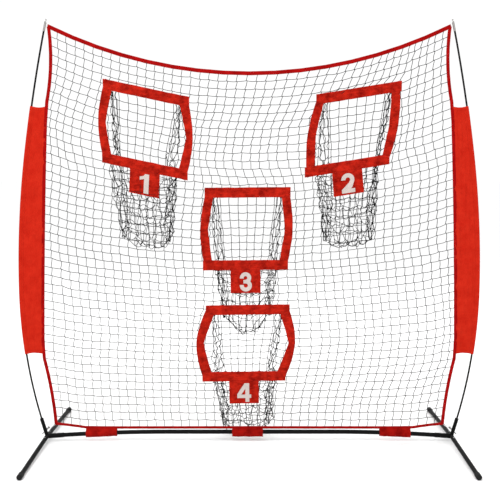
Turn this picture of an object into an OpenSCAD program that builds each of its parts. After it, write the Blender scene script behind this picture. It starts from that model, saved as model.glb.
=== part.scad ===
// Pitching target net: a bow-pole net stand with four hanging ball pockets.
// Millimetres. X runs along the crossbar, Y to the rear (pocket bags), Z up.
// The origin is on the ground, below the middle of the crossbar.

/* [Base] */
// Half length of the straight middle crossbar tube
bar_mid_half = 430; // [380:5:460]
// Outer radius of the crossbar tubes
bar_r = 11; // [10.5:0.25:11.5]
// Slope of the crossbar's ends, in degrees
bar_end_slope = 3.9; // [3.7:0.05:4.1]
// Wall thickness of all the steel tubes
tube_wall = 1.2; // [1:0.1:1.4]
// Length of a leg, from the corner to the foot's centre
leg_len = 500; // [420:10:560]
// Outer radius of the legs
leg_r = 11; // [10.5:0.25:11.5]
// Height of a foot's centre above the ground
foot_z = 12.5; // [12:0.5:13]
// Radius of the rounded foot caps
foot_r = 14; // [13.5:0.25:14.5]
// Length of the leg stubs that are welded to a corner
leg_stub_len = 75; // [70:1:90]
// Outer radius of the crossbar stub on a corner
bar_stub_r = 12.5; // [12.3:0.1:13]
// Depth that a swaged tube end goes into the next tube
spigot_len = 50; // [40:1:55]

/* [Poles] */
// Half width over the pole centres, where they bow out most
bow_x = 1185; // [1150:5:1220]
// Height at which the poles bow out most
bow_z = 800; // [780:5:820]
// Lean of the pole sockets, in degrees from upright
socket_lean = 15.7; // [15:0.1:16.5]
// Length of a pole socket, from the corner's centre
socket_len = 100; // [90:5:110]
// Outer radius of a pole socket
socket_r = 9.5; // [9:0.25:10]
// Bend radius of the lower pole section
bend_low = 2600; // [2550:10:2650]
// Bend radius of the middle pole section
bend_mid = 5150; // [5000:50:5300]
// Bend radius of the upper pole section
bend_top = 8000; // [7500:100:8500]
// Lean of the pole where its middle section ends
joint_lean = 8; // [7.5:0.25:8.5]
// Lean of the pole at its tip
tip_lean = 12.5; // [12:0.25:13]
// Outer radius of the fibreglass pole
pole_r = 4.75; // [4.5:0.05:5]
// Radius of the hole along a pole
pole_hole_r = 2; // [1.8:0.1:2.2]
// Outer radius of a pole ferrule
ferrule_r = 6; // [5.8:0.1:6.3]
// Length of a pole ferrule
ferrule_len = 60; // [50:5:70]

/* [Net] */
// Height of the net's top corners
net_top_z = 2143; // [2130:1:2150]
// Half width of the net at its top corners
net_top_x = 1002; // [995:1:1003]
// How far the top hem sags below its corners
top_sag = 229; // [200:1:240]
// Width of the top hem tape
top_hem_w = 23; // [20:1:26]
// Width of the side hem tapes
side_hem_w = 20; // [18:1:22]
// Width of the bottom hem tape
bottom_hem_w = 17; // [15:1:18]
// Thickness of the netting's flat solid
net_t = 3; // [2:0.5:4]
// Thickness of the hem tapes
hem_t = 4; // [3:0.5:5]
// Half width of the net at the top of a sleeve
sleeve_top_x = 1026; // [1020:1:1032]
// Half width of the net at the foot of a sleeve
sleeve_foot_x = 1078; // [1072:1:1084]
// Lean of the pole where a sleeve starts, below the widest point
sleeve_foot_lean = 7.2; // [7:0.1:7.4]
// Lean of the pole where a sleeve ends, near the top
sleeve_top_lean = 9.7; // [9.5:0.1:9.9]
// Inner radius of a sleeve's tunnel round the pole
tunnel_r = 7; // [6.8:0.1:7.5]

/* [Pockets] */
// Width of the horizontal bands of a pocket frame
edge_band = 52; // [48:1:56]
// Width of the upright bands of a pocket frame
side_band = 44; // [40:1:48]
// How far a pocket bag stands out behind the net
bag_depth = 160; // [140:5:180]
// Wall thickness of a pocket bag's solid
bag_wall = 3; // [2.5:0.5:4]
// Width of a number tab
tab_w = 155; // [145:1:160]
// Height of a number tab
tab_h = 118; // [110:1:122]

/* [Snap buttons] */
// Radius of a snap button
button_r = 3.4; // [3.2:0.1:3.6]
// How far a snap button stands out of its tube
button_out = 1.8; // [1.5:0.1:2]

/* [Hidden] */
$fn = 64;
arc_fn = 720;
fit_gap = 0.05;
socket_gap = 0.3;
stub_gap = 0.12;
swage_len = 12;

// Pole bends: the centres of the three arcs, as [x, z]
low_centre = [bow_x - bend_low, bow_z];
mid_centre = [bow_x - bend_mid, bow_z];
joint_dir = [cos(joint_lean), sin(joint_lean)];
top_centre = mid_centre + (bend_mid - bend_top) * joint_dir;
socket_dir = [sin(socket_lean), cos(socket_lean)];
pole_foot_at = 37;
pole_grip = (socket_len - pole_foot_at) / 2;
pole_foot_lean = socket_lean + pole_grip / bend_low * 180 / PI;
corner = pole_at(-socket_lean) - (pole_foot_at + pole_grip) * socket_dir;
pole_tip = top_centre + bend_top * [cos(tip_lean), sin(tip_lean)];

// Base: the legs slope down from the corners, and the crossbar's ends slope down to them
leg_slope = asin((corner[1] - foot_z) / leg_len);
plug_gap = 14;
bar_stub_len = 88;
bar_grip = (bar_stub_len - plug_gap) / 2;
bar_grip_at = plug_gap + bar_grip;
bar_bend = (corner[0] - bar_mid_half - bar_grip_at * cos(bar_end_slope)) / sin(bar_end_slope);
bar_mid_z = corner[1] + bar_grip_at * sin(bar_end_slope) + bar_bend * (1 - cos(bar_end_slope));
bar_tip_slope = bar_end_slope + (bar_grip - 1) / bar_bend * 180 / PI;
bar_centre = [bar_mid_half, bar_mid_z - bar_bend];
button_at = 50;
button_hole_r = button_r + fit_gap;
spigot_r = leg_r - tube_wall - fit_gap;
cord_r = 1.3;

// Hook peg through the socket, under the pole's lower end
peg_at = 30;
peg_r = 2;
peg_ball_r = 5.5;
peg_dir = [-0.35, 0.88, 0.3];
peg_front = 28;
peg_rear = 30;
// Net corners and knees, as [x, z] on the right-hand side
top_corner = [net_top_x, net_top_z];
sleeve_top = [sleeve_top_x, pole_at(sleeve_top_lean)[1]];
sleeve_foot = [sleeve_foot_x, pole_at(-sleeve_foot_lean)[1]];
bottom_corner = [1020, 98];
bottom_knee = [858, 77];
side_bow_top = 17;
side_bow_mid = -6;
side_bow_low = 8;

// Base loops round the crossbar: the middle of each along X, and their width
loop_places = [-781, -9, 770];
loop_w = 163;
loop_r = 12.2;
loop_t = 1.2;
loop_foot_r = 8;
loop_bottom_z = 26;

// Pockets: centre x, centre z, tilt, lean, width, height, side bulge,
// then the bag's middle x and lowest z
POCKETS = [
    [-525, 1633, -11.8, 11, 434, 419, 22, -531, 1023],
    [525, 1635, 9, 55, 430, 418, 16, 522, 1028],
    [-14, 1130, 0.5, 11, 439, 426, 18, -14, 556],
    [-18, 532, 0.8, 20, 436, 406, 40, -14, 16]
];
frame_t = 2.5;
frame_y = -net_t / 2 - frame_t;
tab_t = 2.2;
tab_y = -net_t / 2 - 0.3 - tab_t;
tab_gap = 2.2;
// How far each tab's sides hang out of square with its frame, in degrees
tab_hangs = [8.5, -3.5, 0, 0];
numeral_t = 0.6;
numeral_lift = 9;

// A point on the pole's centre line where it leans by a degrees
function pole_at(a) =
    a < 0 ? low_centre + bend_low * [cos(a), sin(a)]
    : a < joint_lean ? mid_centre + bend_mid * [cos(a), sin(a)]
    : top_centre + bend_top * [cos(a), sin(a)];

// Points along an arc from p to q that bows by s to the left, moved off it by off
function bow_points(p, q, s, off = 0, n = 16) =
    let (c = norm(q - p), u = (q - p) / c, v = [-u[1], u[0]],
         r = (c * c / 4 + s * s) / (2 * s), h = asin(c / 2 / r))
    [for (i = [0:n]) let (t = h * (2 * i / n - 1))
        (p + q) / 2 + u * (r + off) * sin(t) + v * ((r + off) * cos(t) - r + s)];

function reversed(points) = [for (i = [len(points) - 1:-1:0]) points[i]];
function mirrored(points) = [for (i = [len(points) - 1:-1:0]) [-points[i][0], points[i][1]]];

// A point of pocket p, from its distances u and v along its tilted axes
function pocket_point(p, u, v) = [p[0] + u + p[3] * v / p[5], p[1] + v + u * tan(p[2])];

// One upright edge of pocket p, bulging out in the middle, from v1 to v2
function pocket_side(p, side, inset, v1, v2, n = 6) =
    let (reach = max(abs(v1), abs(v2)))
    [for (i = [0:n]) let (v = v1 + (v2 - v1) * i / n)
        pocket_point(p, side * (p[4] / 2 - inset + p[6] * (1 - pow(v / reach, 2))), v)];

// The whole outline of pocket p, inset by side on its uprights and by edge on the others
function pocket_outline(p, side, edge) =
    let (v = p[5] / 2 - edge)
    concat(pocket_side(p, 1, side, v, -v), pocket_side(p, -1, side, -v, v));

// Stands a flat outline up in the XZ plane, from y to y + t
module upright(y, t) {
    translate([0, y + t, 0]) rotate([90, 0, 0]) linear_extrude(t) children();
}

// A round rod between two points
module rod(p, q, r) {
    d = q - p;
    translate(p) rotate([0, acos(d[2] / norm(d)), atan2(d[1], d[0])]) cylinder(h = norm(d), r = r);
}

// A bent tube in the XZ plane, round centre c, from angle a0 to a1
module bent_tube(c, r, a0, a1, outer, inner = 0) {
    translate([c[0], 0, c[1]]) rotate([90, 0, 0]) rotate([0, 0, a0])
        rotate_extrude(angle = a1 - a0, $fn = arc_fn) translate([r, 0]) difference() {
            circle(r = outer);
            if (inner > 0) circle(r = inner);
        }
}

// A straight tube along local X
module tube_x(from, to, outer, inner) {
    translate([from, 0, 0]) rotate([0, 90, 0]) difference() {
        cylinder(h = to - from, r = outer);
        translate([0, 0, -1]) cylinder(h = to - from + 2, r = inner);
    }
}

module on_side(s) {
    mirror([s < 0 ? 1 : 0, 0, 0]) children();
}

// Local X along a leg: depth is -1 for a front leg and 1 for a rear one
module along_leg(depth) {
    translate([corner[0], 0, corner[1]]) rotate([0, 0, depth * 90]) rotate([0, leg_slope, 0]) children();
}

// Local X along the crossbar's plugged end, inwards from a corner
module along_bar() {
    translate([corner[0], 0, corner[1]]) rotate([0, 0, 180]) rotate([0, -bar_end_slope, 0]) children();
}

// Local Z up a pole socket
module along_socket() {
    translate([corner[0], 0, corner[1]]) rotate([0, socket_lean, 0]) children();
}

module button_hole(reach) {
    translate([button_at, 0, 0]) cylinder(h = reach, r = button_hole_r);
}

module peg_rod(r) {
    p = [socket_dir[0], 0, socket_dir[1]] * peg_at + [corner[0], 0, corner[1]];
    rod(p - peg_dir * peg_front, p + peg_dir * peg_rear, r);
}

// Welded corner: a pole socket, a crossbar stub and two leg stubs
module corner_piece(s) {
    color("dimgray") on_side(s) difference() {
        union() {
            along_socket() cylinder(h = socket_len, r = socket_r);
            along_bar() rotate([0, 90, 0]) cylinder(h = bar_stub_len, r = bar_stub_r);
            for (depth = [-1, 1]) along_leg(depth) rotate([0, 90, 0]) cylinder(h = leg_stub_len, r = leg_r);
        }
        along_socket() translate([0, 0, 20]) cylinder(h = socket_len, r = pole_r + socket_gap);
        along_bar() {
            translate([plug_gap, 0, 0]) rotate([0, 90, 0]) cylinder(h = bar_stub_len, r = bar_r + stub_gap);
            button_hole(20);
        }
        for (depth = [-1, 1]) along_leg(depth) {
            translate([plug_gap, 0, 0]) rotate([0, 90, 0]) cylinder(h = leg_stub_len, r = leg_r - tube_wall);
            button_hole(20);
        }
        peg_rod(peg_r);
    }
}

// Leg tube with a swaged end that plugs into the corner
module leg(s, depth) {
    start = leg_stub_len - spigot_len;
    color("dimgray") on_side(s) along_leg(depth) difference() {
        union() {
            tube_x(leg_stub_len, leg_len - 2, leg_r, leg_r - tube_wall);
            tube_x(start, leg_stub_len + swage_len, spigot_r, spigot_r - tube_wall);
            tube_x(leg_stub_len + 1, leg_stub_len + swage_len,
                leg_r - tube_wall / 2, spigot_r - tube_wall / 2);
        }
        button_hole(20);
    }
}

// Rounded plastic foot with a flat underside
module foot(s, depth) {
    color("black") on_side(s) difference() {
        along_leg(depth) difference() {
            union() {
                translate([leg_len - 32, 0, 0]) rotate([0, 90, 0]) cylinder(h = 32, r = foot_r);
                translate([leg_len, 0, 0]) sphere(r = foot_r);
            }
            translate([leg_len - 40, 0, 0]) rotate([0, 90, 0]) cylinder(h = 38.5, r = leg_r);
        }
        translate([corner[0] - 50, depth * leg_len - 100, -50]) cube([100, 200, 50]);
    }
}

// Bent crossbar tube, with a swaged end in the middle tube and a plain end in the corner's stub
module crossbar_side(s) {
    inner = bar_r - tube_wall;
    start = bar_mid_half - spigot_len;
    end = bar_mid_half + swage_len;
    color("dimgray") on_side(s) difference() {
        union() {
            bent_tube(bar_centre, bar_bend, 90 - bar_tip_slope, 90, bar_r, inner);
            translate([0, 0, bar_mid_z]) {
                tube_x(start, end, inner - fit_gap, inner - fit_gap - tube_wall);
                tube_x(bar_mid_half + 1, end, bar_r - tube_wall / 2, inner - fit_gap - tube_wall / 2);
            }
        }
        along_bar() button_hole(20);
    }
}

module crossbar_middle() {
    color("dimgray") translate([0, 0, bar_mid_z])
        tube_x(-bar_mid_half, bar_mid_half, bar_r, bar_r - tube_wall);
}

// Snap button with the live half of its clip, in a tube of bore radius bore under a wall that ends at skin
module snap_button(bore, skin) {
    rim = sqrt(bore * bore - 4.4 * 4.4) - 0.2;
    top = skin + button_out;
    translate([button_at, 0, 0]) {
        rotate_extrude() intersection() {
            translate([0, rim - 1.8]) square([button_r, top - rim + 1.8]);
            translate([0, top - 6]) circle(r = 6);
        }
        translate([0, 0, rim - 1.8]) cylinder(h = top - rim - 2, r = button_r);
        translate([0, 0, rim - 1]) cylinder(h = 1, r = 4.4);
        translate([-24, -3.2, rim - 1.8]) cube([24, 6.4, 0.8]);
    }
}

// Fixed half of a snap button's clip: the lower arm and the bend
module clip_half(bore) {
    rim = sqrt(bore * bore - 4.4 * 4.4) - 0.2;
    foot = sqrt(bore * bore - 9) - 0.05;
    translate([button_at - 25.5, -3, -foot]) {
        cube([30, 6, 0.8]);
        cube([0.8, 6, foot + rim - 1]);
    }
}

module button_bar(s) {
    color("silver") on_side(s) along_bar() snap_button(bar_r - tube_wall, bar_stub_r);
}

module button_leg(s, depth) {
    color("silver") on_side(s) along_leg(depth) snap_button(spigot_r - tube_wall, leg_r);
}

module button_springs() {
    color("silver") for (s = [-1, 1]) on_side(s) {
        along_bar() clip_half(bar_r - tube_wall);
        for (depth = [-1, 1]) along_leg(depth) clip_half(spigot_r - tube_wall);
    }
}

// Peg through the socket, with a ball that holds the net's corner elastic
module hook_peg(s) {
    p = [socket_dir[0], 0, socket_dir[1]] * peg_at + [corner[0], 0, corner[1]];
    color("black") on_side(s) {
        peg_rod(peg_r);
        translate(p + peg_dir * peg_rear) sphere(r = peg_ball_r);
    }
}

module pole_lower(s) {
    color("black") on_side(s) bent_tube(low_centre, bend_low, -pole_foot_lean, 0, pole_r, pole_hole_r);
}

module pole_middle(s) {
    color("black") on_side(s) bent_tube(mid_centre, bend_mid, 0, joint_lean, pole_r, pole_hole_r);
}

module pole_upper(s) {
    color("black") on_side(s) bent_tube(top_centre, bend_top, joint_lean, tip_lean, pole_r, pole_hole_r);
}

// Two metal sleeves over the pole's joints
module ferrules(s) {
    turn = ferrule_len / 2 * 180 / PI;
    inner = pole_r + fit_gap;
    color("gray") on_side(s) {
        bent_tube(low_centre, bend_low, -turn / bend_low, 0, ferrule_r, inner);
        bent_tube(mid_centre, bend_mid, 0, turn / bend_mid, ferrule_r, inner);
        bent_tube(mid_centre, bend_mid, joint_lean - turn / bend_mid, joint_lean, ferrule_r, inner);
        bent_tube(top_centre, bend_top, joint_lean, joint_lean + turn / bend_top, ferrule_r, inner);
    }
}

// Elastic cord inside the pole, as one sweep of rings along its centre line
module shock_cord(s) {
    sides = 8;
    foot = 0.2 - pole_foot_lean;
    head = tip_lean - 0.1;
    leans = concat(
        [for (i = [0:15]) foot * (1 - i / 16)],
        [for (i = [0:9]) joint_lean * i / 10],
        [for (i = [0:6]) joint_lean + (head - joint_lean) * i / 6]
    );
    last = len(leans) - 1;
    rings = [for (a = leans) for (j = [0:sides - 1]) let (t = 360 * j / sides, c = pole_at(a))
        [c[0] + cord_r * cos(t) * cos(a), cord_r * sin(t), c[1] + cord_r * cos(t) * sin(a)]];
    walls = [for (i = [0:last - 1]) for (j = [0:sides - 1]) let (k = (j + 1) % sides)
        [i * sides + j, (i + 1) * sides + j, (i + 1) * sides + k, i * sides + k]];
    ends = [[for (j = [0:sides - 1]) j], [for (j = [sides - 1:-1:0]) last * sides + j]];
    color("black") on_side(s) polyhedron(rings, concat(walls, ends));
}

// Metal tip with a groove and knob for the net's top elastic
module tip_cap(s) {
    color("silver") on_side(s) translate([pole_tip[0], 0, pole_tip[1]]) rotate([0, -tip_lean, 0]) {
        difference() {
            translate([0, 0, -15]) cylinder(h = 48, r = 5.8);
            translate([0, 0, -16]) cylinder(h = 16, r = pole_r + fit_gap);
        }
        translate([0, 0, 33]) cylinder(h = 8, r = 3);
        translate([0, 0, 42]) sphere(r = 4.2);
    }
}

// Flat outlines of the hem tapes. A run is a list of arcs, each [from, to, bow].
function run_edge(run, off) = [
    for (k = [0:len(run) - 1]) let (arc = bow_points(run[k][0], run[k][1], run[k][2], off))
        for (i = [(k == 0 ? 0 : 1):len(arc) - (k == len(run) - 1 ? 1 : 2)]) arc[i]
];

module tape(run, w) {
    polygon(concat(run_edge(run, w / 2), reversed(run_edge(run, -w / 2))));
}

module hem_top_flat() {
    tape([[[-net_top_x, net_top_z], top_corner, -top_sag]], top_hem_w);
}

module hem_bottom_flat() {
    left = mirrored([bottom_knee, bottom_corner]);
    tape([[left[0], left[1], 2], [left[1], bottom_knee, 0.5], [bottom_knee, bottom_corner, 2]], bottom_hem_w);
}

module hem_side_flat() {
    difference() {
        tape([
            [bottom_corner, sleeve_foot, side_bow_low],
            [sleeve_foot, sleeve_top, side_bow_mid],
            [sleeve_top, top_corner, side_bow_top]
        ], side_hem_w);
        hem_top_flat();
        hem_bottom_flat();
    }
}

module hem_top() {
    color("firebrick") upright(-hem_t / 2, hem_t) hem_top_flat();
}

module hem_bottom() {
    color("firebrick") upright(-hem_t / 2, hem_t) hem_bottom_flat();
}

module hem_side(s) {
    color("firebrick") on_side(s) upright(-hem_t / 2, hem_t) hem_side_flat();
}

// Netting, as a flat sheet inside the hems with a hole behind each pocket frame
module net_panel() {
    side = concat(
        bow_points(bottom_corner, sleeve_foot, side_bow_low),
        bow_points(sleeve_foot, sleeve_top, side_bow_mid),
        bow_points(sleeve_top, top_corner, side_bow_top)
    );
    top = bow_points(top_corner, [-net_top_x, net_top_z], top_sag);
    bottom = [[-bottom_knee[0], bottom_knee[1]], bottom_knee];
    color("darkslategray") upright(-net_t / 2, net_t) difference() {
        polygon(concat(side, top, mirrored(side), bottom));
        hem_top_flat();
        hem_bottom_flat();
        for (m = [0, 1]) mirror([m, 0]) hem_side_flat();
        for (p = POCKETS) polygon(pocket_outline(p, side_band, edge_band));
    }
}

// Points along the pole beside its sleeve, from the top down, moved off it by off
function sleeve_line(off) = concat(
    [for (i = [0:3]) let (a = sleeve_top_lean + (joint_lean - sleeve_top_lean) * i / 3)
        pole_at(a) + off * [cos(a), sin(a)]],
    [for (i = [1:16]) let (a = joint_lean * (1 - i / 16)) pole_at(a) + off * [cos(a), sin(a)]],
    [for (i = [1:12]) let (a = -sleeve_foot_lean * i / 12) pole_at(a) + off * [cos(a), sin(a)]]
);

// Fabric sleeve: a channel round the pole and a flat strip to the net's edge
module sleeve(s) {
    outer = tunnel_r + 1.2;
    edge = bow_points(sleeve_foot, sleeve_top, side_bow_mid);
    color("crimson") on_side(s) difference() {
        union() {
            upright(-outer, 2 * outer) polygon(concat(sleeve_line(outer), reversed(sleeve_line(-outer))));
            upright(-net_t / 2, net_t) difference() {
                polygon(concat(edge, sleeve_line(0)));
                hem_side_flat();
            }
        }
        upright(-tunnel_r, 2 * tunnel_r) offset_channel();
    }
}

// The channel's bore, run a little past both ends
module offset_channel() {
    polygon(concat(sleeve_line(tunnel_r), reversed(sleeve_line(-tunnel_r))));
    for (a = [sleeve_top_lean, -sleeve_foot_lean])
        translate(pole_at(a)) rotate(a) square(2 * tunnel_r, center = true);
}

// Height of the crossbar's centre line at x, and its slope there
function bar_lean(x) = abs(x) < bar_mid_half ? 0 : asin((abs(x) - bar_mid_half) / bar_bend);
function bar_z(x) = bar_mid_z - bar_bend * (1 - cos(bar_lean(x)));

// Section of a base loop, grown by t, with its foot a distance drop below the bar's centre
module loop_section(t, drop) {
    half = loop_r + t;
    foot = loop_foot_r + t;
    circle(r = half);
    translate([0, -drop]) circle(r = foot);
    polygon([[-half, 0], [half, 0], [foot, -drop], [-foot, -drop]]);
}

module loop_sweep(lean, width) {
    rotate([0, lean, 0]) rotate([90, 0, 90]) translate([0, 0, -width / 2])
        linear_extrude(width) children();
}

module base_loops() {
    color("red") for (x = loop_places) {
        drop = bar_z(x) - loop_bottom_z - loop_foot_r - loop_t;
        strip_top = bottom_knee[1] - bottom_hem_w / 2 - bar_z(x);
        lean = sign(x) * bar_lean(x);
        translate([x, 0, bar_z(x)]) difference() {
            union() {
                loop_sweep(lean, loop_w) loop_section(loop_t, drop);
                translate([-loop_w / 2, -1.2, 0]) cube([loop_w, 2.4, strip_top]);
            }
            loop_sweep(lean, loop_w + 2) loop_section(0, drop);
        }
    }
}

// Elastic loops from the pole tips to the net's top corners
module elastics_top() {
    p = pole_tip + 37 * [-sin(tip_lean), cos(tip_lean)];
    color("whitesmoke") for (s = [-1, 1]) on_side(s)
        rod([p[0] - 3.6, 0, p[1] - 1], [net_top_x - 8, 0, net_top_z + 11], 1.2);
}

// Elastic loops from the hook pegs to the net's bottom corners
module elastics_bottom() {
    p = [socket_dir[0], 0, socket_dir[1]] * peg_at + [corner[0], 0, corner[1]] + peg_dir * 19;
    color("whitesmoke") for (s = [-1, 1]) on_side(s)
        rod(p + [-4, 0, 1.5], [bottom_corner[0] + 10, 4, bottom_corner[1] - 4], 1.5);
}

// Sewn band round a pocket's mouth
module pocket_frame(k) {
    p = POCKETS[k - 1];
    color("red") upright(frame_y, frame_t) difference() {
        polygon(pocket_outline(p, 0, 0));
        polygon(pocket_outline(p, side_band, edge_band));
    }
}

// One half of a bag's foot outline, inset by t, from its side to its lowest point
function bag_corner(p, side, t) = concat(
    [[p[7] + side * (p[4] / 2 - side_band + 4 - t), p[1] - p[5] / 2 + 10]],
    [for (a = [0:22.5:90])
        [p[7] + side * (82 + (50 - t) * cos(a)), p[8] + 50 - (50 - t) * sin(a)]]
);

// Front outline of a bag, inset by t
module bag_front(p, t) {
    inset = side_band - 4 + t;
    v = p[5] / 2 - edge_band + 4 - t;
    polygon(concat(
        pocket_side(p, 1, inset, v, -0.6 * v), bag_corner(p, 1, t),
        reversed(bag_corner(p, -1, t)), pocket_side(p, -1, inset, -0.6 * v, v)
    ));
}

// Closed form of a bag: front outline, slanting back wall and rounded foot, inset by t
module bag_form(p, t) {
    mouth_y = t > 0 ? -6 : net_t / 2 + 0.1;
    head = pocket_point(p, 0, p[5] / 2 - edge_band + 4);
    sill = p[1] - p[5] / 2 + edge_band - abs(p[4] / 2 * tan(p[2])) * 0.8;
    fall = p[5] - 2 * edge_band + 20;
    back = bag_depth - t;
    slant = t / cos(atan(bag_depth / fall));
    front = 0.36 * bag_depth + t;
    intersection() {
        upright(mouth_y, bag_depth + 10) bag_front(p, t);
        translate([0, 0, head[1]]) translate([p[0], 0, 0]) rotate([0, -p[2], 0])
            rotate([90, 0, 90]) translate([0, 0, -400]) linear_extrude(800) polygon([
                [net_t / 2 - slant, 0], [bag_depth - slant, -fall], [bag_depth - slant, -1500],
                [-10, -1500], [-10, 0]
            ]);
        rotate([90, 0, 90]) translate([0, 0, p[7] - 400]) linear_extrude(800) polygon(concat(
            [[mouth_y, head[1] + 100], [mouth_y, sill], [net_t / 2 + t, sill], [front, p[8] + 60]],
            [for (a = [180:30:270]) [front + 30 + 30 * cos(a), p[8] + 30 + t + 30 * sin(a)]],
            [for (a = [270:30:360]) [back - 50 + 50 * cos(a), p[8] + 50 + t + 50 * sin(a)]],
            [[back, head[1] + 100]]
        ));
    }
}

// Netting bag behind a pocket's mouth, open to the front
module pocket_bag(k) {
    p = POCKETS[k - 1];
    color("darkslategray") difference() {
        bag_form(p, 0);
        bag_form(p, bag_wall);
    }
}

// Local frame at the middle of a pocket frame's lower edge, with X along that edge
module at_tab(k) {
    p = POCKETS[k - 1];
    edge = pocket_point(p, 0, -p[5] / 2);
    translate([edge[0], 0, edge[1]]) rotate([0, -p[2], 0]) children();
}

// Number tab that hangs from the frame and swings on its rolled top edge
module tab(k) {
    color("red") at_tab(k) {
        swing = tab_h * tan(tab_hangs[k - 1]);
        upright(tab_y, tab_t) translate([0, -tab_gap]) polygon([
            [-tab_w / 2, 0], [tab_w / 2, 0], [tab_w / 2 + swing, -tab_h], [swing - tab_w / 2, -tab_h]
        ]);
        translate([-tab_w / 2, tab_y + tab_t / 2, -tab_gap])
            rotate([0, 90, 0]) cylinder(h = tab_w, r = tab_t / 2);
    }
}

// Flat numerals, 100 mm high, standing on the X axis and centred on it
module digit_one() {
    polygon([[-24, 66], [-24, 82], [-4, 90], [2, 100], [22, 100], [22, 0], [-2, 0], [-2, 74]]);
}

module digit_two() {
    difference() {
        translate([0, 67]) circle(r = 33);
        translate([0, 67]) circle(r = 12);
        polygon([[-40, 67], [12, 67], [-10, 20], [-40, 20]]);
        translate([-40, 0]) square([40, 67]);
    }
    polygon([[31, 56], [12, 58], [-34, 18], [-34, 0], [-8, 0], [20, 28]]);
    translate([-34, 0]) square([67, 20]);
}

module digit_three() {
    difference() {
        union() {
            translate([0, 71]) circle(r = 29);
            translate([1, 31]) circle(r = 31);
        }
        translate([0, 71]) circle(r = 9.5);
        translate([1, 31]) circle(r = 11);
        polygon([[-40, 68], [0, 68], [0, 60], [-11, 60], [-11, 42], [1, 42], [1, 34], [-40, 34]]);
    }
    translate([-11, 42]) square([14, 18]);
}

module digit_four() {
    difference() {
        polygon([
            [7, 0], [27, 0], [27, 21], [37, 21], [37, 39], [27, 39],
            [27, 100], [3, 100], [-36, 41], [-36, 21], [7, 21]
        ]);
        polygon([[-15, 39], [7, 39], [7, 72]]);
    }
}

module numeral(k) {
    swing = (tab_h - numeral_lift - 50) * tan(tab_hangs[k - 1]);
    color("whitesmoke") at_tab(k) translate([swing, 0, -tab_gap - tab_h + numeral_lift])
        upright(tab_y - numeral_t, numeral_t) {
            if (k == 1) digit_one();
            if (k == 2) digit_two();
            if (k == 3) digit_three();
            if (k == 4) digit_four();
        }
}

corner_piece(-1);  // corner_left
corner_piece(1);  // corner_right
leg(-1, -1);  // leg_front_left
leg(1, -1);  // leg_front_right
leg(-1, 1);  // leg_rear_left
leg(1, 1);  // leg_rear_right
foot(-1, -1);  // foot_front_left
foot(1, -1);  // foot_front_right
foot(-1, 1);  // foot_rear_left
foot(1, 1);  // foot_rear_right
crossbar_side(-1);  // crossbar_left
crossbar_middle();
crossbar_side(1);  // crossbar_right
button_bar(-1);  // button_bar_left
button_bar(1);  // button_bar_right
button_leg(-1, -1);  // button_front_left
button_leg(1, -1);  // button_front_right
button_leg(-1, 1);  // button_rear_left
button_leg(1, 1);  // button_rear_right
button_springs();
hook_peg(-1);  // hook_peg_left
hook_peg(1);  // hook_peg_right
pole_lower(-1);  // pole_lower_left
pole_lower(1);  // pole_lower_right
pole_middle(-1);  // pole_middle_left
pole_middle(1);  // pole_middle_right
pole_upper(-1);  // pole_upper_left
pole_upper(1);  // pole_upper_right
ferrules(-1);  // ferrules_left
ferrules(1);  // ferrules_right
shock_cord(-1);  // shock_cord_left
shock_cord(1);  // shock_cord_right
tip_cap(-1);  // tip_cap_left
tip_cap(1);  // tip_cap_right
net_panel();
hem_top();
hem_bottom();
hem_side(-1);  // hem_left
hem_side(1);  // hem_right
sleeve(-1);  // sleeve_left
sleeve(1);  // sleeve_right
base_loops();
elastics_top();
elastics_bottom();
pocket_frame(1);  // pocket_frame_1
pocket_frame(2);  // pocket_frame_2
pocket_frame(3);  // pocket_frame_3
pocket_frame(4);  // pocket_frame_4
pocket_bag(1);  // pocket_bag_1
pocket_bag(2);  // pocket_bag_2
pocket_bag(3);  // pocket_bag_3
pocket_bag(4);  // pocket_bag_4
tab(1);  // tab_1
tab(2);  // tab_2
tab(3);  // tab_3
tab(4);  // tab_4
numeral(1);  // numeral_1
numeral(2);  // numeral_2
numeral(3);  // numeral_3
numeral(4);  // numeral_4
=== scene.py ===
import math

import bpy
import numpy as np
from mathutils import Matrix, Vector


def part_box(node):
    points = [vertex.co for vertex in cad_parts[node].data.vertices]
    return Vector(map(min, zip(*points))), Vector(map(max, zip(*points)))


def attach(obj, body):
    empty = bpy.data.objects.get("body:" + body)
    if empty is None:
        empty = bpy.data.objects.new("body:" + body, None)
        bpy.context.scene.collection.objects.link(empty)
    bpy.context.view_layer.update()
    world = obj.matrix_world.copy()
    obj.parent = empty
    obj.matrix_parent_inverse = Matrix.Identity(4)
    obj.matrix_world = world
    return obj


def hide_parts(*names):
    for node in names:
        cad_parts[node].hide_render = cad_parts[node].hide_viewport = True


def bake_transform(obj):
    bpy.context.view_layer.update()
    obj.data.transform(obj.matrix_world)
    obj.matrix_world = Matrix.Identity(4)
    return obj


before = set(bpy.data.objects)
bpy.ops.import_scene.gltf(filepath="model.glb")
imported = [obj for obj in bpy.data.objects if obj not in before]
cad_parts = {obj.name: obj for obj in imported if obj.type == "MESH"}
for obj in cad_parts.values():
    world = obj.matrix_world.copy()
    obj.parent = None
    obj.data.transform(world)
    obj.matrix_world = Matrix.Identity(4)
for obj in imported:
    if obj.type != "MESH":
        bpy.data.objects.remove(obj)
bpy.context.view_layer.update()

# Sizes in metres
MESH_CELLS = 46
CELL = 0.045
TWINE_R = 0.00155
KNOT_HALF = 0.0034
HEM_T = 0.0036
HEM_TURN = 0.0016
HEM_MITRE = 0.011
BAND_T = 0.0017
CLOTH_T = 0.0009
STITCH_STEP = 0.0042
STITCH_LEN = 0.0031
STITCH_R = 0.00033
ELASTIC_R = 0.0012
SLEEVE_R = 0.0076
KNOB_R = 0.0042
BALL_R = 0.0055
DEG = math.pi / 180
FRONT = np.array([0.0, -1.0, 0.0])
DOWN = np.array([0.0, 0.0, -1.0])
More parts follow.
